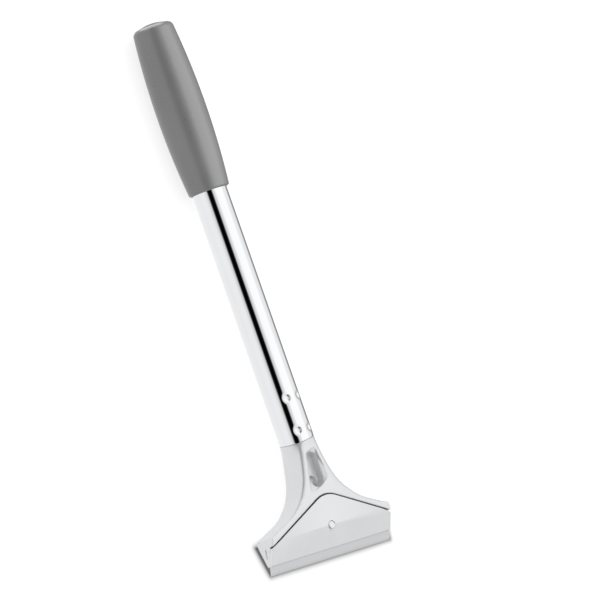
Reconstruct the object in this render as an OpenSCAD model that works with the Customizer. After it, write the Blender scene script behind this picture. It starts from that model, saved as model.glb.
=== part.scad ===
// Long-handled blade scraper: a soft barrel grip on a chromed steel tube,
// crimped onto a die-cast head that clamps a straight replaceable blade.
//
// Frame: origin on the handle axis, at the seam between tube and head.
// +Y runs along the handle to the grip, +Z out of the face that carries the
// clamp plate, +X across the blade. Distances down the head, away from the
// grip, are called s and lie along -Y; names of such places end in _s. Millimetres.

/* [Handle] */
// Outside diameter of the steel tube
tube_d = 22; // [21.5:0.1:22.5]
// Wall thickness of the steel tube
tube_wall = 1.2; // [1:0.1:1.4]
// Bare length of tube between head and grip
tube_bare = 162; // [80:1:600]
// Length of tube held inside the grip
tube_in_grip = 98; // [60:1:100]
// Diameter of a crimp dimple at the tube's surface
dimple_d = 7.2; // [6:0.1:8]
// Diameter of the flat at the bottom of a crimp dimple
dimple_flat_d = 3.6; // [3:0.1:4]
// Depth of a crimp dimple
dimple_depth = 1; // [0.6:0.1:1.1]
// Heights of the two crimp rows above the seam
dimple_rows = [5.6, 26.4]; // [4:0.1:28]
// Angle of each crimp to either side of the front, and of the back
dimple_angle = 24; // [20:1:30]

/* [Grip] */
// Length of the grip
grip_len = 108; // [106:1:125]
// Diameter of the grip at its widest
grip_d = 31.2; // [29:0.1:34]
// Distance from the grip's open end to its widest place
grip_belly = 52; // [45:1:60]
// Radius of the long barrel curve along the grip
grip_barrel_r = 500; // [450:10:900]
// Rounding of the closed end
grip_end_r = 4.5; // [3:0.5:6]
// Rounding of the open end
grip_lip_r = 1.3; // [0.8:0.1:2]

/* [Head] */
// Half of the head's width at its two arm ends
arm_x = 49.6; // [48:0.1:49.9]
// Height of the neck's flat front face above the handle axis
neck_front = 9; // [8.6:0.1:9.4]
// Depth of the neck's flat back face below the handle axis
neck_back = 8; // [7.5:0.1:8.5]
// Depth of the back pad below the handle axis
pad_z = 9.8; // [9.5:0.1:10.5]
// Radius of the sweep from the neck into each arm
sweep_r = 39; // [34:1:41]
// Draft of the flanks, wider towards the back
flank_draft = 6.5; // [4:0.5:8]
// Length of the spigot inside the tube
spigot_len = 34; // [32:1:45]
// Clearance of the spigot in the tube, on the radius
spigot_gap = 0.1; // [0.05:0.05:0.2]

/* [Clamp plate] */
// Height of the plate above its fold line, along its face
plate_up = 18.7; // [18:0.1:19]
// Height of the plate below its fold line, along its face
plate_low = 15; // [14.5:0.1:15.5]
// Tilt of the plate's upper face
tilt_up = 11.5; // [10:0.5:13]
// Tilt of the plate's lower face
tilt_low = 30; // [28:0.5:31]
// Tilt of the blade
tilt_blade = 25; // [24:0.5:26]
// Thickness of the plate's upper part
plate_t = 2.6; // [2.4:0.1:2.8]
// Thickness of the plate's lower lip
lip_t = 1.1; // [0.9:0.1:1.3]
// Slope of the plate's two upper edges
edge_slope = 25; // [24:0.5:26]
// Rounding of the plate's apex
apex_r = 18; // [14:1:20]
// Width of the gap between plate and arms
rim_gap = 0.9; // [0.7:0.1:1.2]

/* [Blade] */
// Length of the blade
blade_len = 100; // [98:0.5:101]
// Width of the blade, edge to edge
blade_w = 16; // [15.5:0.1:16]
// Thickness of the blade
blade_t = 0.5; // [0.4:0.05:0.6]
// How far the blade stands out below the plate
blade_out = 6.3; // [5.9:0.1:6.6]
// Width of the ground bevel on each edge
blade_bevel = 1.2; // [1:0.1:2]

/* [Screw] */
// Diameter of the screw's shank
screw_d = 5; // [4.8:0.1:5.2]
// Diameter of the screw's head
screw_head_d = 9.5; // [9:0.1:9.8]
// Height of the screw's head
screw_head_h = 2.6; // [2:0.1:2.8]
// Running clearance round the shank, on the radius
screw_gap = 0.05; // [0.02:0.01:0.08]

/* [Hidden] */
$fn = 96;

over = 1;     // overrun of a cut past a face, or of a part into its neighbour
sliver = 0.02; // overrun of a corner cut past its two edges

tube_r = tube_d / 2;
tube_ir = tube_r - tube_wall;
spigot_r = tube_ir - spigot_gap;

// Fold line of the plate: s and height; the screw's axis crosses it
fold_s = 55.3;
fold_z = 5.2;
// Bottom front edge of the plate
low_s = fold_s + plate_low * cos(tilt_low);
low_z = fold_z - plate_low * sin(tilt_low);
// Foot of the lip, where the blade's front face passes
lip_foot_s = low_s + 0.05;
lip_foot_z = low_z - lip_t * 1.1;

// Height at s of the plate's upper front and back faces, and of the blade's front
function upper_z(dist) = fold_z - (dist - fold_s) * tan(tilt_up);
function plate_back_z(dist) = upper_z(dist) - plate_t / cos(tilt_up);
function blade_z(dist) = lip_foot_z - (dist - lip_foot_s) * tan(tilt_blade);

// Where the plate's upper back face meets its clamping face
kink_s = (fold_z + fold_s * tan(tilt_up) - plate_t / cos(tilt_up)
          - lip_foot_z - lip_foot_s * tan(tilt_blade)) / (tan(tilt_up) - tan(tilt_blade));

// Sharp lower corners and apex of the plate's outline
corner_s = low_s - 9.8;
apex_s = corner_s - blade_len / 2 * tan(edge_slope);

// Blade's seat: its shoulder lies just above the blade's top edge
shoulder_s = lip_foot_s - (blade_w - blade_out) * cos(tilt_blade) - 0.35;
seat_end_s = low_s + 0.2;
seat_gap = 0.01; // between blade and seat
body_gap = 0.15; // between plate and bed

// Heights and radii at the screw
bore_r = screw_d / 2 + screw_gap;
sink_top = -pad_z + 3.6;
washer_h = 0.8;
spring_seat = -3.4;
boss_low = plate_back_z(fold_s) - 2.2;

// ---------- helpers ----------

function unit(vec) = vec / norm(vec);

// The region between a sharp corner and the arc that rounds it.
// edge_a and edge_b point from the corner along its two edges.
module corner(tip, edge_a, edge_b, radius) {
    dir_a = unit(edge_a);
    dir_b = unit(edge_b);
    half = acos(dir_a * dir_b) / 2;
    reach = radius / tan(half);
    difference() {
        polygon([tip - sliver * (dir_a + dir_b), tip + dir_a * reach, tip + dir_b * reach]);
        translate(tip + unit(dir_a + dir_b) * radius / sin(half)) circle(r = radius);
    }
}

// Side profile, given as [s, z] points, drawn across the head
module across(width, points) {
    rotate([90, 0, 90]) linear_extrude(width, center = true)
        polygon([for (point = points) [-point[0], point[1]]]);
}

// Children built along +Z, laid along the handle from y
module along_handle(y) {
    translate([0, y, 0]) rotate([-90, 0, 0]) children();
}

// Children on the screw's axis, at height z
module at_screw(z) {
    translate([0, -fold_s, z]) children();
}

// Children as they are, and mirrored to the other side
module both_sides() {
    for (side = [0, 1]) mirror([side, 0, 0]) children();
}

// Children at every crimp, with +Z pointing out of the tube
module at_crimps() {
    for (y = dimple_rows,
         angle = [-dimple_angle, dimple_angle, 180 - dimple_angle, 180 + dimple_angle])
        translate([0, y, 0]) rotate([0, angle, 0]) children();
}

// ---------- grip ----------

grip_steps = 24;     // points along the barrel curve
grip_crown = 0.6;    // rise of the closed end inside its rounding
grip_bore_spare = 2; // bore beyond the tube's end

// Radius of the barrel at a distance from the open end
function barrel(y) = grip_d / 2 - grip_barrel_r
    + sqrt(grip_barrel_r * grip_barrel_r - (y - grip_belly) * (y - grip_belly));

module grip_profile() {
    end_start = grip_len - grip_end_r;
    lip = barrel(grip_lip_r) - grip_lip_r;
    cap = barrel(end_start) - grip_end_r;
    polygon(concat(
        [[0, 0], [lip, 0]],
        [for (i = [1:4])
            [lip + grip_lip_r * sin(22.5 * i), grip_lip_r * (1 - cos(22.5 * i))]],
        [for (i = [1:grip_steps])
            let (y = grip_lip_r + (end_start - grip_lip_r) * i / grip_steps)
            [barrel(y), y]],
        [for (i = [1:6])
            [cap + grip_end_r * cos(15 * i), end_start + (grip_end_r - grip_crown) * sin(15 * i)]],
        [[cap * 0.55, grip_len - 0.15], [0, grip_len]]
    ));
}

module grip() {
    color([0.56, 0.56, 0.57])
    along_handle(tube_bare) difference() {
        rotate_extrude() grip_profile();
        translate([0, 0, -over])
            cylinder(r = tube_r, h = tube_in_grip + grip_bore_spare + over);
    }
}

// ---------- handle tube ----------

// Pad of metal behind each dimple
pad_extra_d = 1.8; // wider than the dimple's flat
pad_inward = 1.1;  // from the tube's inner wall towards the axis
pad_in_wall = 0.5; // from the inner wall outwards
dimple_over = 0.6; // overrun of the dimple's cone past the surface

module handle_tube() {
    tube_len = tube_bare + tube_in_grip;
    cone_h = dimple_depth + dimple_over;
    color([0.86, 0.87, 0.88])
    difference() {
        union() {
            difference() {
                along_handle(0) cylinder(r = tube_r, h = tube_len);
                along_handle(-over) cylinder(r = tube_ir, h = tube_len + 2 * over);
            }
            at_crimps() translate([0, 0, tube_ir - pad_inward])
                cylinder(d = dimple_flat_d + pad_extra_d, h = pad_inward + pad_in_wall);
        }
        at_crimps() translate([0, 0, tube_r - dimple_depth])
            cylinder(d1 = dimple_flat_d,
                     d2 = dimple_flat_d + (dimple_d - dimple_flat_d) * cone_h / dimple_depth,
                     h = cone_h);
    }
}

// ---------- head ----------

// Flank at mid depth, as [x, s]: down the neck to a corner, then out along the arm
neck_flare = 14.5; // angle of the neck's flank to the handle axis
arm_drop = 23.3;   // angle of the arm's flank to the X axis
neck_dir = [sin(neck_flare), cos(neck_flare)];
arm_dir = [cos(arm_drop), sin(arm_drop)];
flank_corner = [17, 38.2];
arm_end_r = 2.6;

// Front of the head as [s, z], falling away from the collar: neck, then arms
neck_end_s = 16;
neck_line = [
    [2.5, tube_r - 0.4], [5, neck_front + 1.15], [8, neck_front + 0.8],
    [12, neck_front + 0.5], [neck_end_s, neck_front + 0.35]
];
arm_line = [
    [20, neck_front + 0.2], [28, neck_front - 0.1], [36, neck_front - 0.4],
    [41, upper_z(41) - 0.2], [48, upper_z(48) - 0.1]
];

// Space outside the flank on the +X side
module side_air() {
    far_neck = flank_corner - neck_dir * 60;
    far_arm = flank_corner + arm_dir * 60;
    rotate([0, -flank_draft, 0])
    linear_extrude(80, center = true)
    mirror([0, 1]) difference() {
        polygon([far_neck, flank_corner, far_arm, [90, far_neck[1]]]);
        corner(flank_corner, -neck_dir, arm_dir, sweep_r);
    }
}

// Plate's outline seen from the front, grown by a margin and open downwards
module plate_opening(margin) {
    tip = [0, apex_s - margin / cos(edge_slope)];
    right = [cos(edge_slope), sin(edge_slope)];
    left = [-right[0], right[1]];
    side_len = 80;
    below = [0, 60];
    mirror([0, 1]) difference() {
        polygon([tip, tip + right * side_len, tip + right * side_len + below,
                 tip + left * side_len + below, tip + left * side_len]);
        corner(tip, right, left, apex_r + margin);
    }
}

// Neck and arms as one spreading body
module fan() {
    tip_s = low_s - 5;
    difference() {
        across(2 * arm_x, concat([[0, tube_r]], neck_line, arm_line, [
            [tip_s, upper_z(tip_s)], [seat_end_s, upper_z(tip_s) - 4],
            [seat_end_s, -6.9], [54.5, -pad_z], [48.5, -pad_z],
            [45, -neck_back], [0, -neck_back]
        ]));
        both_sides() side_air();
        // corners growing out of the round collar
        rotate([90, 0, 0]) difference() {
            translate([0, 0, -1]) cylinder(r = 80, h = 19);
            translate([0, 0, -2]) cylinder(r1 = tube_r - 0.45, r2 = tube_r + 4.4, h = 22);
        }
        // rounded ends of the arms
        both_sides() {
            end_s = flank_corner[1] + (arm_x - flank_corner[0]) * tan(arm_drop);
            translate([0, 0, -40]) linear_extrude(80) mirror([0, 1])
                corner([arm_x + sliver, end_s], -arm_dir, [0, 1], arm_end_r);
        }
    }
}

// Round collar below the seam, flattened into the neck
module neck() {
    intersection() {
        rotate([90, 0, 0]) cylinder(r = tube_r, h = neck_end_s);
        across(40, concat(
            [[-1, 20], [0.6, 20], [0.6, tube_r]],
            neck_line,
            [[neck_end_s, -neck_back], [13, -neck_back], [2.5, -tube_r], [2.5, -20], [-1, -20]]
        ));
    }
}

// Outline of the pocket in the neck's face, as [x, s]
pocket = [[-4.9, 8.6], [4, 6.2], [7.9, 24.6], [7.5, 26.6], [-10, 34.8], [-10.7, 34.3], [-8, 24]];
bevel_depth = 1.3;

// Blind well in the pocket: its two round ends and the pit, as [x, s, radius]
well_upper = [-0.4, 13.2, 4.2];
well_lower = [-1.4, 25.6, 5.4];
well_pit = [-1.6, 26.8, 4.4];
well_depth = 5.9;
pit_depth = 9.5;
well_taper = 0.14; // growth of the radius per millimetre of height

// Children on the neck's front face, which falls 2.6 degrees
module on_neck_face() {
    rotate([2.6, 0, 0]) translate([0, 0.46, neck_front + 1.1]) children();
}

// Drafted round end of the well
module well_end(place, depth) {
    translate([place[0], -place[1], -depth])
        cylinder(r1 = place[2] - well_taper * depth, r2 = place[2] + well_taper * over,
                 h = depth + over);
}

// Thin disc at the foot of the bevel, just inside one end of the well
module bevel_foot(place) {
    translate([place[0], -place[1], -bevel_depth]) cylinder(r = place[2] - 0.1, h = 0.1);
}

// Wide bevel round the well
module neck_pocket() {
    on_neck_face() hull() {
        translate([0, 0, 0.4]) linear_extrude(0.1) mirror([0, 1]) polygon(pocket);
        bevel_foot(well_upper);
        bevel_foot(well_lower);
    }
}

module neck_well() {
    on_neck_face() {
        hull() {
            well_end(well_upper, well_depth);
            well_end(well_lower, well_depth);
        }
        // deeper pit at the well's lower end
        well_end(well_pit, pit_depth);
    }
}

// Cored pocket in the back of the +X arm: outline as [x, s], and floor
core = [[10.5, 42.5], [10.5, 62], [45.5, 62], [45.5, 55.5], [29, 48.6], [20, 42.5]];
core_floor = -3.5;
core_r = 2;

module back_core() {
    translate([0, 0, -pad_z - over]) linear_extrude(pad_z + core_floor + over)
    mirror([0, 1]) difference() {
        polygon(core);
        corner(core[0], [0, 1], [1, 0], core_r);
        corner(core[1], [0, -1], [1, 0], core_r);
        corner(core[2], [0, -1], [-1, 0], core_r);
    }
}

// Relief groove in the end face of the +X arm, from the plate's corner down
// behind the blade's seat
module end_groove() {
    translate([50.8, 0, 0]) across(4, [
        [corner_s - 1, 2.4], [corner_s - 0.3, 2.4], [corner_s - 0.3, -3.3],
        [65.4, -5.3], [65.2, -5.8], [corner_s - 1, -3.9]
    ]);
}

// Boss round the screw's head, cut off level with the end of the seat
module sink_boss() {
    intersection() {
        at_screw(-pad_z) cylinder(r = 7.6, h = 9);
        translate([-20, -seat_end_s, -20]) cube([40, 40, 40]);
    }
}

// Height of the blade's seat at s
function seat_z(dist) = blade_z(dist) - blade_t / cos(tilt_blade) - seat_gap;

// Bed of the plate, with the blade's seat and shoulder
module plate_bed() {
    top_s = 20;
    end_s = 90;
    sky = 30;
    intersection() {
        translate([0, 0, -30]) linear_extrude(60) plate_opening(rim_gap);
        across(120, [
            [top_s, sky], [top_s, plate_back_z(top_s) - body_gap],
            [kink_s, plate_back_z(kink_s) - body_gap],
            [shoulder_s, blade_z(shoulder_s) - body_gap], [shoulder_s, seat_z(shoulder_s)],
            [end_s, seat_z(end_s)], [end_s, sky]
        ]);
    }
}

// Screw bore, sink for the screw's head and pocket of the spring
module screw_holes() {
    at_screw(-20) cylinder(r = bore_r, h = 40);
    at_screw(-pad_z - over) cylinder(d = screw_head_d + 1.1, h = sink_top + pad_z + over);
    at_screw(spring_seat) cylinder(r = 3.6, h = 20);
}

// Hollow of the spigot, and its crimp pockets
module spigot_holes() {
    along_handle(6) cylinder(r = 5.5, h = spigot_len);
    at_crimps() translate([0, 0, spigot_r - 1.4]) cylinder(d = dimple_flat_d + 2.6, h = 4);
}

module head_body() {
    color([0.8, 0.81, 0.82])
    difference() {
        union() {
            fan();
            neck();
            // spigot inside the tube
            along_handle(-over) cylinder(r = spigot_r, h = spigot_len + over);
            sink_boss();
        }
        plate_bed();
        neck_pocket();
        neck_well();
        both_sides() back_core();
        both_sides() end_groove();
        screw_holes();
        spigot_holes();
    }
}

// ---------- clamp plate ----------

module clamp_plate() {
    // start of the profile, above the apex that the outline cuts
    start_s = fold_s - plate_up * cos(tilt_up) - 4;
    color([0.86, 0.87, 0.88])
    difference() {
        union() {
            intersection() {
                across(blade_len, [
                    [start_s, upper_z(start_s)], [fold_s, fold_z], [low_s, low_z],
                    [lip_foot_s, lip_foot_z], [kink_s, plate_back_z(kink_s)],
                    [start_s, plate_back_z(start_s)]
                ]);
                translate([0, 0, -30]) linear_extrude(60) plate_opening(0);
            }
            // boss behind the plate
            at_screw(boss_low) cylinder(r = 3.4, h = 3.4);
        }
        at_screw(-10) cylinder(r = bore_r, h = 30);
        // broken edge of the bore
        at_screw(fold_z - 0.4) cylinder(r1 = bore_r - 0.2, r2 = bore_r + 0.35, h = 0.6);
    }
}

// ---------- blade ----------

edge_half = 0.03; // half the thickness left at each cutting edge

module blade() {
    mid = -blade_t / 2;
    far_bevel = blade_w - blade_bevel;
    color([0.78, 0.79, 0.8])
    translate([0, -lip_foot_s, lip_foot_z]) rotate([tilt_blade, 0, 0])
    translate([0, -blade_out, 0]) rotate([90, 0, 90]) linear_extrude(blade_len, center = true)
        polygon([
            [0, mid - edge_half], [blade_bevel, -blade_t],
            [far_bevel, -blade_t], [blade_w, mid - edge_half],
            [blade_w, mid + edge_half], [far_bevel, 0],
            [blade_bevel, 0], [0, mid + edge_half]
        ]);
}

// ---------- screw, washer and spring ----------

head_top = sink_top - washer_h;
head_low = head_top - screw_head_h;
head_chamfer = 0.4;
shank_root = 0.5; // length of shank sunk in the head
shank_end = fold_z + 0.1;
tip_h = 0.3;      // chamfer of the shank's end
slot_w = 1.4;
slot_depth = 1.3;

module clamp_screw() {
    color([0.82, 0.83, 0.84])
    difference() {
        union() {
            at_screw(head_low + head_chamfer)
                cylinder(d = screw_head_d, h = screw_head_h - head_chamfer);
            at_screw(head_low)
                cylinder(d1 = screw_head_d - 2 * head_chamfer, d2 = screw_head_d, h = head_chamfer);
            at_screw(head_top - shank_root)
                cylinder(d = screw_d, h = shank_end - tip_h - head_top + shank_root);
            at_screw(shank_end - tip_h)
                cylinder(d1 = screw_d, d2 = screw_d - 2 * tip_h, h = tip_h);
        }
        // coin slot
        at_screw(head_low - over)
            translate([-10, -slot_w / 2, 0]) cube([20, slot_w, slot_depth + over]);
    }
}

module screw_washer() {
    color([0.7, 0.71, 0.72])
    at_screw(head_top) difference() {
        cylinder(d = screw_head_d + 0.5, h = washer_h);
        translate([0, 0, -over]) cylinder(d = screw_d + 0.3, h = washer_h + 2 * over);
    }
}

// Round wire swept along a coil: rings of points, skinned in order
module coil(mean_r, wire_d, turns, height) {
    steps = 24 * turns;
    ring = 8;      // points round the wire
    end_gap = 0.04; // free height below and above the coil
    wire_r = wire_d / 2;
    rise = height - wire_d - 2 * end_gap;
    points = [for (i = [0:steps], j = [0:ring - 1])
        let (turn = 360 * turns * i / steps,
             around = 360 * j / ring,
             out = mean_r + wire_r * cos(around))
        [out * cos(turn), out * sin(turn),
         wire_r + end_gap + rise * i / steps + wire_r * sin(around)]];
    sides = [for (i = [0:steps - 1], j = [0:ring - 1])
        let (here = i * ring,
             next = here + ring,
             beside = (j + 1) % ring)
        each [[here + j, next + j, next + beside],
              [here + j, next + beside, here + beside]]];
    start_cap = [for (j = [0:ring - 1]) j];
    end_cap = [for (j = [ring - 1:-1:0]) steps * ring + j];
    polyhedron(points = points, faces = concat(sides, [start_cap], [end_cap]), convexity = 6);
}

module lift_spring() {
    color([0.6, 0.61, 0.62])
    at_screw(spring_seat)
        coil(mean_r = 3.05, wire_d = 0.45, turns = 3, height = boss_low - spring_seat - 0.06);
}

grip();
handle_tube();
head_body();
clamp_plate();
blade();
clamp_screw();
screw_washer();
lift_spring();
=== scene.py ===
"""A hand scraper: a vinyl grip on a chromed tube, joined to a cast head that clamps a blade.

The handle's axis is the Y axis. The tube starts at y = 0 and runs to the grip, whose closed end is
at +Y; the head and the blade lie towards -Y, with the clamp plate on the head's front (+Z) side.
"""

import math

import bmesh
import bpy
import numpy as np
from mathutils import Matrix, Vector
from mathutils.bvhtree import BVHTree


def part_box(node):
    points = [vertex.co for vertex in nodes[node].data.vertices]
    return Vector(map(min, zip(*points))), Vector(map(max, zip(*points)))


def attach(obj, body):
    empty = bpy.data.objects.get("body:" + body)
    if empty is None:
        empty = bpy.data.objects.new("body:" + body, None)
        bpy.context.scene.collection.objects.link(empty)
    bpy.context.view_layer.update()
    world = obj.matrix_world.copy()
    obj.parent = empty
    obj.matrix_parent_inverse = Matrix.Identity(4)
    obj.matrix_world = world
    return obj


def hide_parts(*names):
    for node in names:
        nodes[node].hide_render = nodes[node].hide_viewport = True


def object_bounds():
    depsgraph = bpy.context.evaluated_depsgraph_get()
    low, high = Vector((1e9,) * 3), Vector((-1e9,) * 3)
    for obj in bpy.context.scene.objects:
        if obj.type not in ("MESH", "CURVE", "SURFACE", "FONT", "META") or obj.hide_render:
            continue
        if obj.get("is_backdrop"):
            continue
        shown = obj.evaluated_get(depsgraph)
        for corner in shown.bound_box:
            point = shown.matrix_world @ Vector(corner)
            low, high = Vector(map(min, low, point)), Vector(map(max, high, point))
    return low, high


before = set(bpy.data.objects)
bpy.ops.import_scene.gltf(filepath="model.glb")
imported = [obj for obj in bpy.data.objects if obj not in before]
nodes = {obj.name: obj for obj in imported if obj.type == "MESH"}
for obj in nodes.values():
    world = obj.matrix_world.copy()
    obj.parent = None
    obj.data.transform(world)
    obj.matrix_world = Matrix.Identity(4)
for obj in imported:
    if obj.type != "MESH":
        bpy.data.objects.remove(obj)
scene = bpy.context.scene


def plain(b):
    if isinstance(b, dict):
        return {k: plain(v) for k, v in b.items()}
    if isinstance(b, Vector) or hasattr(b, "__iter__"):
        return [plain(v) for v in b]
    return float(b)


cad_box = plain(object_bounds())

# ------------------------------------------------------------------ sizes, places and directions
MM = 0.001
grip_lo, grip_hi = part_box("grip")
tube_lo, tube_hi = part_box("handle_tube")
screw_lo, screw_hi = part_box("clamp_screw")
blade_lo, blade_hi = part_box("blade")
head_lo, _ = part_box("head_body")
TUBE_RADIUS = (tube_hi.x - tube_lo.x) / 2
SCREW_Y = (screw_lo.y + screw_hi.y) / 2

TURN = math.radians(41)  # the view's turn about the handle's axis
TIP = math.radians(-3.2)  # the view's tilt along the handle
ALONG = Vector((0, 1, 0))  # along the handle, towards the grip's closed end
FRONT = Vector((0, 0, 1))
SIDE = Vector((1, 0, 0))
# from the handle towards the camera, square to the handle
TO_VIEWER = math.cos(TURN) * FRONT - math.sin(TURN) * SIDE
# across the handle, to its right in the picture
ACROSS = math.sin(TURN) * FRONT + math.cos(TURN) * SIDE
TO_CAMERA = math.cos(TIP) * TO_VIEWER + math.sin(TIP) * ALONG


# ------------------------------------------------------------------ shader node helpers
class Shader:
    """Adds nodes to a tree. An input takes a plain value or another node's output socket."""

    def __init__(self, tree):
        self.tree = tree
        tree.nodes.clear()

    def put(self, socket, value):
        if isinstance(value, bpy.types.NodeSocket):
            self.tree.links.new(value, socket)
        elif isinstance(value, (tuple, list)) and socket.type == "RGBA" and len(value) == 3:
            socket.default_value = (*value, 1)
        else:
            socket.default_value = value

    def add(self, kind, inputs=(), **settings):
        """A new node; an input given as None keeps its default."""
        node = self.tree.nodes.new("ShaderNode" + kind)
        for name, value in settings.items():
            setattr(node, name, value)
        for key, value in dict(inputs).items():
            if value is not None:
                self.put(node.inputs[key], value)
        return node

    def math(self, operation, a, b=0.0, c=0.0):
        return self.add("Math", enumerate((a, b, c)), operation=operation).outputs[0]

    def vector(self, operation, a, b=None, scale=None):
        node = self.add("VectorMath", {0: a, 1: b, "Scale": scale}, operation=operation)
        gives_number = operation in ("DOT_PRODUCT", "LENGTH")
        return node.outputs["Value" if gives_number else "Vector"]

    def remap(self, value, span=(0.3, 0.7), to=(0.0, 1.0)):
        """Maps span onto to, clamped. The default span is where most noise values fall."""
        return self.add("MapRange", enumerate((value, *span, *to)), clamp=True).outputs[0]


class Material(Shader):
    """A Principled material, with object coordinates in millimetres."""

    def __init__(self, name):
        self.material = bpy.data.materials.new(name)
        self.material.use_nodes = True
        super().__init__(self.material.node_tree)
        output = self.add("OutputMaterial")
        self.principled = self.add("BsdfPrincipled")
        self.put(output.inputs["Surface"], self.principled.outputs[0])
        self.mm = self.vector("SCALE", self.add("TexCoord").outputs["Object"], scale=1000.0)

    def finish(self, **inputs):
        """Sets the Principled inputs, spaces written as underscores, and returns the material."""
        for name, value in inputs.items():
            self.put(self.principled.inputs[name.replace("_", " ")], value)
        return self.material

    def noise(self, scale, detail=4.0, roughness=0.55, at=None):
        inputs = {"Vector": at or self.mm, "Scale": scale, "Detail": detail,
                  "Roughness": roughness}
        return self.add("TexNoise", inputs).outputs["Fac"]

    def stretched(self, *factors):
        """The coordinates scaled by axis: a small factor draws a texture out along its axis."""
        return self.vector("MULTIPLY", self.mm, factors)

    def mix(self, factor, a, b):
        return self.add("Mix", {0: factor, 6: a, 7: b}, data_type="RGBA").outputs[2]

    def dim(self, color, factor):
        return self.vector("SCALE", color, scale=factor)

    def bump(self, height, strength, depth_mm, normal=None):
        inputs = {"Strength": strength, "Distance": depth_mm * MM, "Height": height,
                  "Normal": normal}
        return self.add("Bump", inputs).outputs[0]

    def painted_crevice_shade(self, reach_mm, low):
        """Painted shade in narrow gaps: a colour factor from occlusion, 1 in the open, down to low
        deep in a gap.
        """
        occlusion = self.add("AmbientOcclusion", {"Distance": reach_mm * MM}, samples=6)
        return self.remap(occlusion.outputs["AO"], span=(0.30, 0.92), to=(low, 1.0))

    def edges(self, radius_mm, gain):
        """1 along sharp convex and concave edges, 0 on the flats."""
        rounded = self.add("Bevel", {"Radius": radius_mm * MM}, samples=4).outputs[0]
        normal = self.add("NewGeometry").outputs["Normal"]
        likeness = self.vector("DOT_PRODUCT", rounded, normal)
        return self.remap(likeness, span=(1.0 - gain, 1.0), to=(1.0, 0.0))


def shade(color, factor):
    return tuple(c * factor for c in color)


# ------------------------------------------------------------------ materials
def cast_metal(name, base, roughness, speckle):
    mat = Material(name)
    fine = mat.noise(scale=3.2, detail=3.0, roughness=0.6)
    grain = mat.noise(scale=9.0, detail=2.0, roughness=0.7)
    broad = mat.noise(scale=0.06, detail=3.0, roughness=0.5)
    spots = mat.add("TexVoronoi", {"Vector": mat.mm, "Scale": 1.7}).outputs["Distance"]

    # broad patches, then two layers of darker speckles
    color = mat.mix(mat.remap(broad), shade(base, 0.965), base)
    color = mat.mix(mat.remap(fine, span=(0.35, 0.75), to=(0, speckle)), color, shade(base, 0.78))
    flecks = mat.noise(scale=1.6, detail=4.0, roughness=0.75)
    color = mat.mix(mat.remap(flecks, span=(0.52, 0.72), to=(0, speckle)), color,
                    shade(base, 0.70))
    # colour made brighter in patches along the edges
    patches = mat.remap(mat.noise(scale=0.5), span=(0.35, 0.65), to=(0.15, 1))
    edge_patches = mat.math("MULTIPLY", mat.edges(radius_mm=0.45, gain=0.10), patches)
    color = mat.mix(mat.math("MULTIPLY", edge_patches, 0.45), color, (0.95, 0.95, 0.955))
    # painted shade: the colour darkened by occlusion in narrow gaps
    color = mat.dim(color, mat.painted_crevice_shade(reach_mm=1.1, low=0.42))
    # painted shade: a dark line in the colour where the head and the plate part
    line = mat.add("Attribute", attribute_name="painted_gap_shade").outputs["Fac"]
    color = mat.dim(color, mat.remap(line, span=(0.0, 1.0), to=(1.0, 0.35)))

    rough = mat.math("ADD", mat.remap(fine, to=(roughness - 0.03, roughness + 0.05)),
                     mat.remap(broad, to=(-0.03, 0.03)))
    rough = mat.math("SUBTRACT", rough, mat.math("MULTIPLY", edge_patches, 0.10))
    normal = mat.bump(grain, strength=0.18, depth_mm=0.05)
    normal = mat.bump(fine, strength=0.20, depth_mm=0.10, normal=normal)
    pits = mat.remap(spots, span=(0.0, 0.25), to=(0, 1))
    normal = mat.bump(pits, strength=0.05, depth_mm=0.06, normal=normal)
    return mat.finish(Base_Color=color, Metallic=0.8, Roughness=rough, Normal=normal)


def chrome():
    mat = Material("chrome_plate")
    broad = mat.noise(scale=0.03, detail=2.0, roughness=0.5)
    # polishing lines along the tube
    lines = mat.noise(scale=1.0, detail=3.0, roughness=0.6, at=mat.stretched(6.0, 0.12, 6.0))
    haze = mat.noise(scale=0.25, detail=4.0, roughness=0.6)
    rough = mat.math("ADD", mat.remap(haze, span=(0.35, 0.75), to=(0.018, 0.05)),
                     mat.remap(lines, span=(0.62, 0.75), to=(0.0, 0.04)))
    color = mat.mix(mat.remap(broad), (0.93, 0.935, 0.945), (0.955, 0.96, 0.965))
    normal = mat.bump(lines, strength=0.02, depth_mm=0.01)
    normal = mat.bump(broad, strength=0.05, depth_mm=0.05, normal=normal)
    return mat.finish(Base_Color=color, Metallic=1.0, Roughness=rough, Normal=normal)


def vinyl():
    mat = Material("soft_vinyl")
    peel = mat.noise(scale=1.1, detail=2.0, roughness=0.5)
    grain = mat.noise(scale=6.0, detail=3.0, roughness=0.6)
    broad = mat.noise(scale=0.035, detail=3.0, roughness=0.5)
    base = (0.140, 0.140, 0.142)
    color = mat.mix(mat.remap(broad), shade(base, 0.95), shade(base, 1.04))
    dust = mat.noise(scale=2.2, detail=5.0, roughness=0.7)
    color = mat.mix(mat.remap(dust, span=(0.62, 0.8), to=(0.0, 0.04)), color, (0.20, 0.20, 0.20))
    rough = mat.math("ADD", mat.remap(peel, to=(0.27, 0.32)), mat.remap(broad, to=(-0.02, 0.03)))
    normal = mat.bump(grain, strength=0.12, depth_mm=0.03)
    normal = mat.bump(peel, strength=0.22, depth_mm=0.06, normal=normal)
    # the moulded end face is duller than the barrel
    along = mat.add("SeparateXYZ", {0: mat.mm}).outputs[1]
    top = grip_hi.y * 1000
    rough = mat.math("ADD", rough, mat.remap(along, span=(top - 1.0, top - 0.3), to=(0.0, 0.42)))
    return mat.finish(Base_Color=color, Roughness=rough, Normal=normal, Specular_IOR_Level=1.0)


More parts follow.
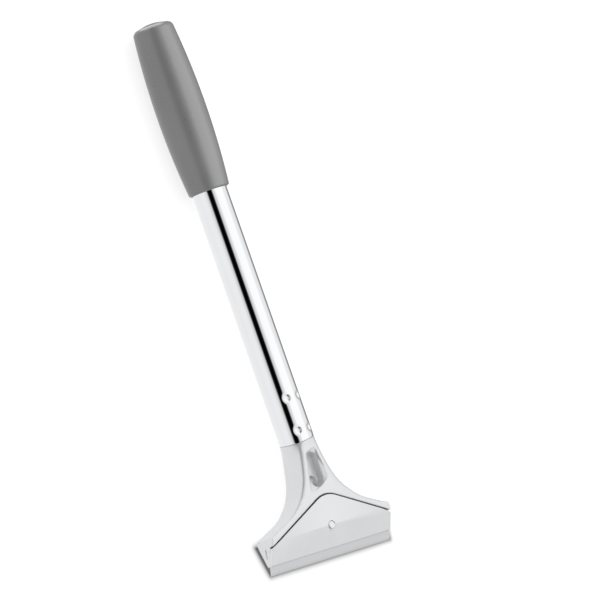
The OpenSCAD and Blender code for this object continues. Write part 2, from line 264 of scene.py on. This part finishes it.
def ground_steel():
    mat = Material("ground_steel")
    lines = mat.noise(scale=1.0, detail=4.0, roughness=0.65, at=mat.stretched(0.10, 7.0, 7.0))
    broad = mat.noise(scale=0.08, detail=3.0, roughness=0.5)
    cross = mat.noise(scale=1.0, detail=3.0, roughness=0.6, at=mat.stretched(9.0, 0.4, 0.4))
    # the ground bevels, read from how far a face turns from the blade's flat
    blade_tilt = math.radians(25)
    flat_normal = (0, -math.sin(blade_tilt), math.cos(blade_tilt))
    facing = mat.vector("DOT_PRODUCT", mat.add("NewGeometry").outputs["True Normal"], flat_normal)
    bevel = mat.remap(mat.math("ABSOLUTE", facing), span=(0.995, 0.98))
    color = mat.mix(mat.remap(lines), (0.70, 0.705, 0.715), (0.78, 0.785, 0.79))
    color = mat.mix(mat.math("MULTIPLY", bevel, 0.6), color, (0.84, 0.845, 0.85))
    # painted shade: the colour darkened by occlusion in narrow gaps
    color = mat.dim(color, mat.painted_crevice_shade(reach_mm=1.3, low=0.45))
    rough = mat.math("ADD", mat.remap(lines, to=(0.30, 0.38)), mat.remap(broad, to=(-0.03, 0.03)))
    # scratches run lengthwise on the flats and across on the bevels
    normal = mat.bump(mat.mix(bevel, lines, cross), strength=0.12, depth_mm=0.02)
    return mat.finish(Base_Color=color, Metallic=1.0, Roughness=rough, Normal=normal)


def turned_steel(name, base):
    """Steel with turning rings about the screw's axis."""
    mat = Material(name)
    offset = mat.vector("SUBTRACT", mat.mm, (0, SCREW_Y * 1000, 0))
    radius = mat.vector("LENGTH", mat.vector("MULTIPLY", offset, (1, 1, 0)))
    rings_at = mat.add("CombineXYZ", {0: radius}).outputs[0]
    rings = mat.noise(scale=5.0, detail=3.0, roughness=0.6, at=rings_at)
    fine = mat.noise(scale=4.0, detail=3.0, roughness=0.6)
    color = mat.mix(mat.remap(fine), shade(base, 0.93), base)
    rough = mat.remap(rings, to=(0.24, 0.36))
    normal = mat.bump(rings, strength=0.15, depth_mm=0.02)
    return mat.finish(Base_Color=color, Metallic=1.0, Roughness=rough, Normal=normal)


MAT_HEAD = cast_metal("satin_casting", base=(0.84, 0.845, 0.855), roughness=0.40, speckle=0.35)
MAT_PLATE = cast_metal("satin_plate", base=(0.86, 0.865, 0.87), roughness=0.38, speckle=0.30)
MAT_CHROME = chrome()
MAT_VINYL = vinyl()
MAT_BLADE = ground_steel()
MAT_SCREW = turned_steel("plated_screw", base=(0.86, 0.86, 0.865))
MAT_WASHER = turned_steel("plated_washer", base=(0.74, 0.745, 0.75))
MAT_SPRING = turned_steel("spring_wire", base=(0.55, 0.55, 0.56))


# ------------------------------------------------------------------ mesh helpers
def paint(obj, material):
    obj.data.materials.clear()
    obj.data.materials.append(material)


def stand_in(obj, material, node, body):
    """Paints a piece and puts it in the place of a CAD node."""
    paint(obj, material)
    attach(obj, body)
    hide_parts(node)


def linked(name, mesh):
    obj = bpy.data.objects.new(name, mesh)
    scene.collection.objects.link(obj)
    return obj


def mesh_object(name, verts, faces):
    mesh = bpy.data.meshes.new(name)
    mesh.from_pydata([tuple(v) for v in verts], [], faces)
    mesh.validate()
    mesh.update()
    return linked(name, mesh)


def smooth(obj):
    obj.data.polygons.foreach_set("use_smooth", [True] * len(obj.data.polygons))
    obj.data.update()


def tidy(mesh, weld=None):
    """Joins vertices closer than weld, if given, and turns the faces outward."""
    bm = bmesh.new()
    bm.from_mesh(mesh)
    if weld:
        bmesh.ops.remove_doubles(bm, verts=bm.verts, dist=weld)
    bmesh.ops.recalc_face_normals(bm, faces=bm.faces)
    bm.to_mesh(mesh)
    bm.free()


def welded_copy(node, name):
    """A copy of a CAD node's mesh with its doubled vertices joined."""
    mesh = nodes[node].data.copy()
    mesh.name = name
    obj = linked(name, mesh)
    tidy(mesh, weld=2e-6)
    if mesh.has_custom_normals and "custom_normal" in mesh.attributes:
        mesh.attributes.remove(mesh.attributes["custom_normal"])
    mesh.update()
    return obj


def apply_modifiers(obj):
    bpy.context.view_layer.update()
    depsgraph = bpy.context.evaluated_depsgraph_get()
    mesh = bpy.data.meshes.new_from_object(obj.evaluated_get(depsgraph), depsgraph=depsgraph)
    obj.modifiers.clear()
    old = obj.data
    obj.data = mesh
    bpy.data.meshes.remove(old)


def get_points(mesh):
    points = np.zeros(len(mesh.vertices) * 3)
    mesh.vertices.foreach_get("co", points)
    return points.reshape(-1, 3)


def set_points(mesh, points):
    mesh.vertices.foreach_set("co", points.astype(np.float32).ravel())
    mesh.update()


def neighbour_averager(mesh):
    """A function from the mesh's points to the mean place of each point's neighbours."""
    count = len(mesh.vertices)
    edges = np.zeros(len(mesh.edges) * 2, int)
    mesh.edges.foreach_get("vertices", edges)
    start, end = edges.reshape(-1, 2).T
    degree = np.bincount(edges, minlength=count)[:, None]

    def average(points):
        sums = [np.bincount(start, c[end], count) + np.bincount(end, c[start], count)
                for c in points.T]
        return np.stack(sums, axis=1) / degree

    return average


def relax(obj, rounds, factor):
    """Draws vertices to their neighbours' mean, then back a little less, to keep the volume."""
    average = neighbour_averager(obj.data)
    points = get_points(obj.data)
    for _ in range(rounds):
        for step in (factor, -factor * 0.9):
            points = points + step * (average(points) - points)
    set_points(obj.data, points)


def ease(t):
    return t * t * (3 - 2 * t)


def smoothstep(value, start, stop):
    return ease(np.clip((value - start) / (stop - start), 0, 1))


def lathe(name, profile, steps):
    """Turns (radius, y) points about the handle axis."""
    verts, faces = [], []
    count = len(profile)
    for i in range(steps):
        angle = 2 * math.pi * i / steps
        verts += [(r * math.sin(angle), y, r * math.cos(angle)) for r, y in profile]
        here, there = i * count, (i + 1) % steps * count
        for p in range(count - 1):
            faces.append((here + p, there + p, there + p + 1, here + p + 1))
    obj = mesh_object(name, verts, faces)
    tidy(obj.data, weld=1e-7)
    smooth(obj)
    return obj


# ------------------------------------------------------------------ grip
def build_grip():
    mouth, tip = grip_lo.y, grip_hi.y
    length = tip - mouth
    widest = (grip_hi.x - grip_lo.x) / 2
    barrel_radius = 0.5  # of the barrel's long curve
    belly = 0.052  # from the mouth to the widest place
    lip = 0.0014  # rounding at the mouth
    end, end_height = 0.0045, 0.0040  # rounding at the closed end, across and along
    dome = 0.0017  # height of the end face's dome

    def wall(t):
        return widest - barrel_radius + math.sqrt(barrel_radius**2 - (t - belly) ** 2)

    # (radius, y): the hidden inside, closed within the tube, then the flared mouth
    profile = [
        (0.0, mouth + 0.010),
        (TUBE_RADIUS - 0.0006, mouth + 0.010),
        (TUBE_RADIUS - 0.0003, mouth + 0.0016),
        (TUBE_RADIUS + 0.0001, mouth + 0.0008),
        (TUBE_RADIUS + 0.0006, mouth + 0.0002),
        (TUBE_RADIUS + 0.0008, mouth),
    ]
    lip_radius = wall(lip)
    for i in range(1, 9):
        angle = math.pi / 2 * i / 8
        profile.append((lip_radius - lip + lip * math.sin(angle),
                        mouth + lip * (1 - math.cos(angle))))
    barrel_steps = 60
    for i in range(1, barrel_steps + 1):
        t = lip + (length - lip - end) * i / barrel_steps
        profile.append((wall(t), mouth + t))
    # rounded rim, a faint moulding line, then the domed end
    end_radius = wall(length - end)
    for i in range(1, 15):
        angle = math.radians(66) * i / 14
        profile.append((end_radius - end + end * math.cos(angle),
                        tip - end + end_height * math.sin(angle)))
    rim_radius, rim_y = profile[-1]
    for inward, rise in ((0.0003, 0.00004), (0.0006, -0.00010), (0.0009, 0.00002)):
        profile.append((rim_radius - inward, rim_y + rise))
    dome_radius, dome_y = profile[-1]
    for f in (0.94, 0.88, 0.8, 0.7, 0.6, 0.5, 0.4, 0.3, 0.2, 0.1, 0.0):
        profile.append((dome_radius * f, dome_y + dome * (1 - f * f)))

    grip = lathe("grip_sleeve", profile, steps=160)
    stand_in(grip, MAT_VINYL, node="grip", body="handle")
    return grip


# ------------------------------------------------------------------ tube
def seam_drop(x, z):
    """How far the tube's end, not cut quite square, reaches over the collar, in millimetres."""
    facing = (z * math.cos(TURN) - x * math.sin(TURN)) / np.maximum(np.hypot(x, z), 1e-6)
    return 1.9 * np.clip(facing, 0, 1) ** 1.3


SEAM_BLEND = 6.0  # how far from the seam the drop fades out, mm
CRIMPS = [(y * MM, math.radians(a)) for y in (5.6, 26.4) for a in (-24, 24, 156, 204)]
BOWL_RADIUS, BOWL_DEPTH = 4.2, 0.62  # a crimp's wide hollow, mm
PUNCH_RADIUS, PUNCH_EDGE, PUNCH_DEPTH = 2.05, 0.45, 0.40  # the step at its middle, mm


def crimp_depth(y, angle):
    """Depth of the crimps' dents in the tube's wall, in metres."""
    deepest = 0.0
    for crimp_y, crimp_angle in CRIMPS:
        turn = (angle - crimp_angle + math.pi) % (2 * math.pi) - math.pi
        distance = math.hypot(turn * TUBE_RADIUS, y - crimp_y) / MM
        fall = math.cos(math.pi * min(distance, BOWL_RADIUS) / BOWL_RADIUS)
        bowl = BOWL_DEPTH * (0.5 + 0.5 * fall)
        punch = PUNCH_DEPTH * ease(min(max((PUNCH_RADIUS - distance) / PUNCH_EDGE, 0.0), 1.0))
        deepest = max(deepest, bowl + punch)
    return deepest * MM


def build_tube():
    bore = TUBE_RADIUS - 0.0012
    crimped = 0.034  # length of the finely divided part that holds the crimps
    # rounding of the end's edge: row y -> how far it is drawn in
    rim = {0.00006: 0.00026, 0.00014: 0.00017, 0.00025: 0.00009, 0.0004: 0.00003}
    rows = list(rim)
    y = 0.0006
    while y < crimped:
        rows.append(y)
        y += 0.0003
    rows += list(np.linspace(0.036, tube_hi.y, 24))
    count = 260
    angles = [2 * math.pi * i / count for i in range(count)]
    drops = [float(seam_drop(math.sin(a), math.cos(a))) * MM for a in angles]

    verts, faces = [], []
    for row in rows:
        for angle, drop in zip(angles, drops):
            radius = TUBE_RADIUS - rim.get(row, 0.0)
            y = row
            if row < crimped:
                y -= drop * (1 - ease(min(row / (SEAM_BLEND * MM), 1.0)))
                radius -= crimp_depth(y, angle)
            verts.append((radius * math.sin(angle), y, radius * math.cos(angle)))
    last = (len(rows) - 1) * count  # first vertex of the outside's last row
    near = len(verts)  # first vertex of the bore's ring at the head's end
    far = near + count
    for angle, drop in zip(angles, drops):
        verts.append((bore * math.sin(angle), -drop, bore * math.cos(angle)))
    for angle in angles:
        verts.append((bore * math.sin(angle), tube_hi.y, bore * math.cos(angle)))

    for j in range(0, last, count):
        for i in range(count):
            k = (i + 1) % count
            faces.append((j + i, j + k, j + count + k, j + count + i))
    # the bore and the two end rings
    for i in range(count):
        k = (i + 1) % count
        faces.append((near + i, far + i, far + k, near + k))
        faces.append((i, near + i, near + k, k))
        faces.append((last + i, last + k, far + k, far + i))
    tube = mesh_object("steel_tube", verts, faces)
    tidy(tube.data)
    smooth(tube)
    stand_in(tube, MAT_CHROME, node="handle_tube", body="handle")


# ------------------------------------------------------------------ cast head
# Outline of the neck's pocket on the front face: (x, down), where down is -y, mm.
POCKET = [(-4.9, 8.6), (4, 6.2), (7.9, 24.6), (7.5, 26.6), (-10, 34.8), (-10.7, 34.3), (-8, 24)]
FAR = 99.0  # stands for out of reach, mm


def away_from_pocket(x, down):
    """Distance outside the pocket's outline in millimetres, 0 within it."""
    nearest = np.full(len(x), 1e9)
    inside = np.zeros(len(x), bool)
    for (x0, down0), (x1, down1) in zip(POCKET, POCKET[1:] + POCKET[:1]):
        dx, dd = x1 - x0, down1 - down0
        t = np.clip(((x - x0) * dx + (down - down0) * dd) / (dx * dx + dd * dd), 0, 1)
        nearest = np.minimum(nearest, np.hypot(x - x0 - t * dx, down - down0 - t * dd))
        level = (down0 > down) != (down1 > down)
        inside ^= level & (x < x0 + (down - down0) * dx / dd)
    return np.where(inside, 0.0, nearest)


def distances(tree, points, chosen, reach):
    """Distance in mm from each chosen point to the tree, FAR beyond reach or if not chosen."""
    found = np.full(len(points), FAR)
    for i in np.where(chosen)[0]:
        distance = tree.find_nearest(Vector(points[i] * MM), reach)[3]
        if distance is not None:
            found[i] = distance / MM
    return found


def soften(obj):
    """Generous roundings on the outer edges; small ones at the seam, pocket and plate's bed."""
    mesh = obj.data
    points = get_points(mesh) / MM
    x, down, z = points[:, 0], -points[:, 1], points[:, 2]
    plate = BVHTree.FromObject(nodes["clamp_plate"], bpy.context.evaluated_depsgraph_get())
    to_plate = distances(plate, points, (down > 30) & (z > -6), reach=0.006)

    # how freely each vertex may move
    freedom = 0.03 + 0.97 * smoothstep(to_plate, 1.3, 3.6)  # held near the plate
    off_pocket = 0.008 + 0.992 * smoothstep(away_from_pocket(x, down), 0.3, 2.0)
    freedom *= 1 - smoothstep(z, -3, 1) * (1 - off_pocket)  # held at the pocket, in front
    freedom *= 0.02 + 0.98 * smoothstep(down, 0.4, 3.0)  # held at the tube's seam
    freedom *= 0.30 + 0.70 * smoothstep(z, -6, -2)  # less at the back
    freedom *= 1 - 0.55 * smoothstep(down, 33, 40)  # less towards the blade
    freedom *= 1 - 0.94 * smoothstep(np.abs(x), 44.0, 47.0)  # held at the head's two sides

    average = neighbour_averager(mesh)
    step = (0.6 * freedom)[:, None]
    for _ in range(250):
        points += step * (average(points) - points)
    # the collar follows the tube's slanted end
    down = -points[:, 1]
    fade = (1 - smoothstep(down, 0, SEAM_BLEND)) * smoothstep(down, -1.5, -0.3)
    points[:, 1] -= seam_drop(points[:, 0], points[:, 2]) * fade
    set_points(mesh, points * MM)

    # how close the plate is, for the painted shade line where they part
    gap = distances(plate, points, to_plate < 3.0, reach=0.0015)
    painted_gap_shade = 1 - smoothstep(gap, 0.15, 0.70)
    attribute = mesh.attributes.new("painted_gap_shade", "FLOAT", "POINT")
    attribute.data.foreach_set("value", painted_gap_shade.astype(np.float32))


def build_head():
    head = welded_copy("head_body", "cast_head")
    remesh = head.modifiers.new("voxels", "REMESH")
    remesh.mode = "VOXEL"
    remesh.voxel_size = 0.31 * MM
    remesh.adaptivity = 0.0
    apply_modifiers(head)
    relax(head, rounds=4, factor=0.6)
    soften(head)
    smooth(head)
    stand_in(head, MAT_HEAD, node="head_body", body="handle")


# ------------------------------------------------------------------ plate and screw
def build_crisp(node, name, width_mm, segments, material, body):
    """A CAD piece with its flat faces joined and its edges broken by a small rounding."""
    obj = welded_copy(node, name)
    bm = bmesh.new()
    bm.from_mesh(obj.data)
    bmesh.ops.dissolve_limit(bm, angle_limit=math.radians(0.6), verts=bm.verts, edges=bm.edges)
    bm.to_mesh(obj.data)
    bm.free()
    smooth(obj)
    bevel = obj.modifiers.new("broken_edges", "BEVEL")
    bevel.width = width_mm * MM
    bevel.segments = segments
    bevel.limit_method = "ANGLE"
    bevel.angle_limit = math.radians(40)
    bevel.use_clamp_overlap = True
    bevel.harden_normals = True
    weighted = obj.modifiers.new("flat_faces", "WEIGHTED_NORMAL")
    weighted.keep_sharp = True
    stand_in(obj, material, node, body)


grip = build_grip()
build_tube()
build_head()
build_crisp("clamp_plate", "plate", width_mm=0.35, segments=3,
            material=MAT_PLATE, body="plate")
build_crisp("clamp_screw", "screw", width_mm=0.15, segments=2,
            material=MAT_SCREW, body="screw")
paint(nodes["blade"], MAT_BLADE)
paint(nodes["screw_washer"], MAT_WASHER)
paint(nodes["lift_spring"], MAT_SPRING)

# ------------------------------------------------------------------ floor
# A flat floor just under the grip's lowest line and the blade's edge when it is slid all the way
# out, so that no pose goes through it.
FLOOR_HALF = 4.0
FLOOR_GAP = 0.0003
grip_y = (grip_lo.y + grip_hi.y) / 2
out_y, out_z = blade_lo.y - 0.0181, blade_lo.z - 0.0086  # the edge of the slid-out blade
FLOOR_SLOPE = (grip_lo.z - out_z) / (grip_y - out_y)
FLOOR_NORMAL = Vector((0, -FLOOR_SLOPE, 1)).normalized()


def floor_z(y):
    return out_z + FLOOR_SLOPE * (y - out_y) - FLOOR_GAP


def seen_on_floor(x, y, z):
    """Where the camera sees a point against the floor, as x and y in millimetres."""
    point = Vector((x, y, z))
    height = (point - Vector((0, y, floor_z(y)))).dot(FLOOR_NORMAL)
    on_floor = point - TO_CAMERA * (height / TO_CAMERA.dot(FLOOR_NORMAL))
    return on_floor.x * 1000, on_floor.y * 1000


def floor_material():
    """A pale floor with a short contact shadow painted into its colour round where the working end
    is seen.
    """
    mat = Material("pale_floor")
    left_low, blade_y = seen_on_floor(blade_lo.x, blade_lo.y, blade_lo.z)
    left_high, high = seen_on_floor(blade_lo.x, blade_lo.y + 0.019, head_lo.z)
    right_low, _ = seen_on_floor(blade_hi.x, blade_lo.y, blade_lo.z)
    low = blade_y + 0.4
    place = mat.add("SeparateXYZ", {0: mat.mm}).outputs
    rise = mat.remap(place[1], span=(blade_y, high))
    left = mat.math("ADD", left_low, mat.math("MULTIPLY", rise, left_high - left_low))
    right = mat.math("ADD", right_low, mat.math("MULTIPLY", rise, 2.0))

    outside, inset, squares = [], [], []
    for at, start, stop in ((place[0], left, right), (place[1], low, high)):
        beyond = mat.math("MAXIMUM", mat.math("SUBTRACT", start, at),
                          mat.math("SUBTRACT", at, stop))
        outside.append(mat.math("MAXIMUM", beyond, 0.0))
        inset.append(mat.math("MINIMUM", mat.math("SUBTRACT", at, start),
                              mat.math("SUBTRACT", stop, at)))
    squares = [mat.math("MULTIPLY", side, side) for side in outside]
    distance = mat.math("SQRT", mat.math("ADD", *squares))
    # the painted shadow falls off as exp(-(distance / reach) ** power)
    reach_mm, power = 2.2, 1.4
    falloff = mat.math("POWER", mat.math("DIVIDE", distance, reach_mm), power)
    fade = mat.math("EXPONENT", mat.math("MULTIPLY", falloff, -1.0))
    # the painted shadow is paler under the middle of the head, where the floor is seen only from
    # other sides
    depth = mat.remap(mat.math("MINIMUM", *inset), span=(0.0, 7.0), to=(0.88, 0.42))
    light = mat.math("SUBTRACT", 1.0, mat.math("MULTIPLY", fade, depth))
    return mat.finish(Base_Color=mat.dim((0.36, 0.36, 0.36), light), Roughness=0.9,
                      Specular_IOR_Level=0.0)


def build_floor():
    corners = [(sx * FLOOR_HALF, sy * FLOOR_HALF) for sx, sy in ((-1, -1), (1, -1), (1, 1), (-1, 1))]
    floor = mesh_object("floor", [(x, y, floor_z(y)) for x, y in corners], [(0, 1, 2, 3)])
    paint(floor, floor_material())
    floor.visible_glossy = False
    floor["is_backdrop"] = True
    return floor


floor = build_floor()


# ------------------------------------------------------------------ lamps
def soft_sun(name, toward, spread, energy, lights, blocker=None, shine=True):
    """A distant lamp on one object, shadowed only by the blocker if given; spread in degrees."""
    lamp = bpy.data.lights.new(name, "SUN")
    lamp.angle = math.radians(spread)
    lamp.energy = energy
    obj = linked(name, lamp)
    obj.matrix_world = toward.to_track_quat("Z", "Y").to_matrix().to_4x4()
    obj.visible_glossy = shine
    lit = bpy.data.collections.new("lit_by_" + name)
    lit.objects.link(lights)
    obj.light_linking.receiver_collection = lit
    if blocker:
        cast = bpy.data.collections.new("shadows_of_" + name)
        cast.objects.link(blocker)
        obj.light_linking.blocker_collection = cast


# Over the handle, on the camera's side: whitens the floor, and the pieces cast no shadow in it.
lift = math.radians(45)
soft_sun("floor_lamp", math.cos(lift) * TO_VIEWER + math.sin(lift) * ALONG,
         spread=30, energy=12.2, lights=floor, blocker=floor, shine=False)
# A soft light to the right of the grip, a faint one behind its left, one at its closed end.
swing = math.radians(70)
soft_sun("grip_lamp", math.cos(swing) * TO_VIEWER + math.sin(swing) * ACROSS,
         spread=70, energy=1.15, lights=grip)
soft_sun("rim_lamp", -0.80 * ACROSS - 0.42 * TO_VIEWER + 0.42 * ALONG,
         spread=10, energy=0.14, lights=grip)
soft_sun("end_lamp", 0.92 * ALONG - 0.25 * TO_VIEWER - 0.05 * ACROSS,
         spread=60, energy=2.6, lights=grip)

# ------------------------------------------------------------------ studio light
# The white room as polished metal shows it, with a dark strip behind the camera and a dim band at
# the far right: (degrees about the handle from the viewer, positive to the right; sRGB grey with
# white at 255).
ROOM = [
    (-180, 250), (-142, 243), (-102, 240), (-84, 238), (-60, 241), (-39, 240), (-32, 229),
    (-25, 218), (-19, 196), (-16, 90), (-12, 20), (-7, 5), (0, 2), (11, 12), (14.5, 60),
    (18, 186), (21.5, 212), (28.5, 224), (35, 243), (41, 257), (83, 260), (92, 249),
    (102, 236), (113, 240), (124, 232), (138, 150), (150, 122), (162, 165), (176, 240),
]


def linear(grey):
    """Linear light of an sRGB grey."""
    v = grey / 255
    return v / 12.92 if v <= 0.04045 else ((v + 0.055) / 1.055) ** 2.4


def build_world():
    """Separate surroundings for reflections, for diffuse light and for the camera."""
    world = bpy.data.worlds.new("studio")
    scene.world = world
    world.use_nodes = True
    sky = Shader(world.node_tree)
    output = sky.add("OutputWorld")
    direction = sky.add("TexCoord").outputs["Generated"]

    def toward(axis):
        return sky.vector("DOT_PRODUCT", direction, tuple(axis))

    def background(color, strength):
        return sky.add("Background", {"Color": color, "Strength": strength}).outputs[0]

    angle = sky.math("ARCTAN2", toward(ACROSS), toward(TO_VIEWER))
    turn = sky.math("MULTIPLY_ADD", angle, 1 / (2 * math.pi), 0.5)
    room = sky.add("ValToRGB", {0: turn})
    stops = room.color_ramp.elements
    while len(stops) < len(ROOM):
        stops.new(0.5)
    for stop, (degrees, grey) in zip(stops, ROOM):
        stop.position = degrees / 360 + 0.5
        level = linear(grey)
        stop.color = (level, level, level * 1.005, 1)

    white = (1, 1, 1, 1)
    # reflections are dimmer towards the head
    toward_head = sky.math("MULTIPLY", toward(ALONG), -1.0)
    head_fall = sky.remap(toward_head, span=(0.25, 0.85), to=(1.0, 0.72))
    reflected = background(room.outputs[0], head_fall)
    # a little less diffuse light from the camera's own side, and from its left
    side = sky.remap(toward(TO_VIEWER), span=(0.3, 1.0), to=(1.30, 0.95))
    left = sky.remap(toward(ACROSS), span=(-1.0, 0.2), to=(0.66, 1.0))
    diffuse = background(white, sky.math("MULTIPLY", side, left))
    backdrop = background(white, 1.0)

    ray = sky.add("LightPath").outputs
    lighting = sky.add("MixShader", {0: ray["Is Glossy Ray"], 1: diffuse, 2: reflected})
    seen = sky.add("MixShader", {0: ray["Is Camera Ray"], 1: lighting.outputs[0], 2: backdrop})
    sky.put(output.inputs["Surface"], seen.outputs[0])
    world.cycles.sampling_method = "NONE"


build_world()
scene.view_settings.view_transform = "Standard"
scene.view_settings.look = "None"
scene.view_settings.exposure = 0.0
scene.view_settings.gamma = 1.0


# ------------------------------------------------------------------ camera
def build_camera():
    sensor, lens = 36, 800  # mm
    view_width = 0.3667  # at the handle
    level, slant = 0.9438, 0.3305  # cosine and sine of the handle's slant across the picture
    to_head = -math.cos(TIP) * ALONG + math.sin(TIP) * TO_VIEWER
    right = level * ACROSS + slant * to_head
    up = slant * ACROSS - level * to_head
    aim = Vector((0, 0.0809, 0)) + 0.0303 * ACROSS
    distance = view_width * lens / sensor
    data = bpy.data.cameras.new("camera")
    data.sensor_width = sensor
    data.lens = lens
    camera = linked("camera", data)
    rows = [(r, u, c, a + c * distance) for r, u, c, a in zip(right, up, TO_CAMERA, aim)]
    camera.matrix_world = Matrix((*rows, (0, 0, 0, 1)))
    scene.camera = camera


build_camera()

{"cad": cad_box, "visual": plain(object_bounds())}
